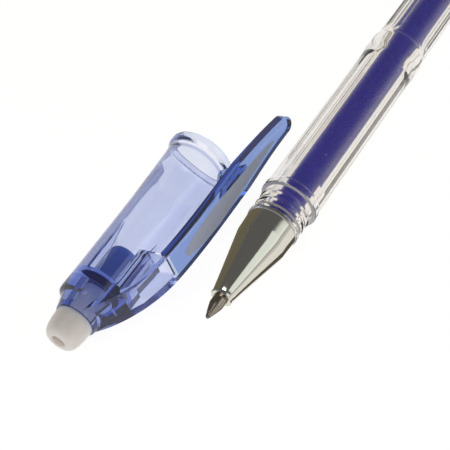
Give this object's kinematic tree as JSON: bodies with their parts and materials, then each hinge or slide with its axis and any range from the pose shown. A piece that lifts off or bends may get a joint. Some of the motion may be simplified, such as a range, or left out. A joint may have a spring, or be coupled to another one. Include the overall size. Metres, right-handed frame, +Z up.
{
  "type": "gel pen",
  "caption": "Capped gel pen with a clear faceted barrel, metal nose cone and ink refill, and a loose clear cap with a spring clip and an eraser plug.",
  "frame": {"origin": "the writing point, where the ball touches the paper", "axes": "+X along the pen from its writing point to its rear end, +Z up from the surface that pen and cap lie on, +Y towards the loose cap"},
  "size_m": [0.1576, 0.029, 0.013],
  "materials": {
    "clear_barrel": "polished clear polystyrene",
    "blue_plug": "moulded gloss",
    "nickel_cone": "nickel-plated brass, polished",
    "refill_tube": "extruded polypropylene",
    "gel_ink": "wet indigo gel",
    "follower_grease": "clear grease",
    "white_holder": "moulded",
    "steel_point": "turned stainless steel",
    "carbide_ball": "ground tungsten carbide",
    "blue_cap": "blue-tinted clear polystyrene",
    "blue_seal": "blue polypropylene",
    "blue_clip": "blue-tinted clear polystyrene",
    "eraser_rubber": "milky matt elastomer"
  },
  "bodies": {
    "pen": {"barrel": "clear_barrel"},
    "plug": {"rear_plug": "blue_plug"},
    "nose": {"nose_cone": "nickel_cone"},
    "refill": {"refill_tube": "refill_tube", "ink_column": "gel_ink", "tip_holder": "white_holder", "tip_body": "steel_point"},
    "follower": {"ink_follower": "follower_grease"},
    "ball": {"ball": "carbide_ball"},
    "cap": {"cap_shell": "blue_cap", "inner_seal": "blue_seal"},
    "clip": {"clip_arm": "blue_clip"},
    "eraser": {"eraser": "eraser_rubber"}
  },
  "joints": [
    {"name": "cap_line_up", "type": "slide", "parent": "pen", "child": "cap", "axis": [-0.9933, -0.1152, -0.006], "range_m": [0, 0.15101]},
    {"name": "clip_flex", "type": "hinge", "parent": "cap", "child": "clip", "pos_m": [0.003, 0.0077, 0.00502], "axis": [0, -0.3907, -0.9205], "range_deg": [0, 5], "stiffness_Nm_per_rad": 0.6},
    {"name": "eraser_pull", "type": "slide", "parent": "cap", "child": "eraser", "axis": [-1, 0, 0], "range_m": [0, 0.01]},
    {"name": "nose_cone_off", "type": "slide", "parent": "pen", "child": "nose", "axis": [-1, 0, 0], "range_m": [0, 0.06]},
    {"name": "refill_draw", "type": "slide", "parent": "pen", "child": "refill", "axis": [-1, 0, 0], "range_m": [0, 0.03]},
    {"name": "follower_travel", "type": "slide", "parent": "refill", "child": "follower", "axis": [-1, 0, 0], "range_m": [0, 0.08], "deforming": ["ink_column"]},
    {"name": "ball_roll", "type": "hinge", "parent": "refill", "child": "ball", "pos_m": [0.00035, 0, 0], "axis": [0, 1, 0], "continuous": true},
    {"name": "rear_plug_pull", "type": "slide", "parent": "pen", "child": "plug", "axis": [1, 0, 0], "range_m": [0, 0.012]}
  ],
  "couplings": [
    {"joint": "refill_draw", "follows": "nose_cone_off", "ratio": 0.5}
  ]
}
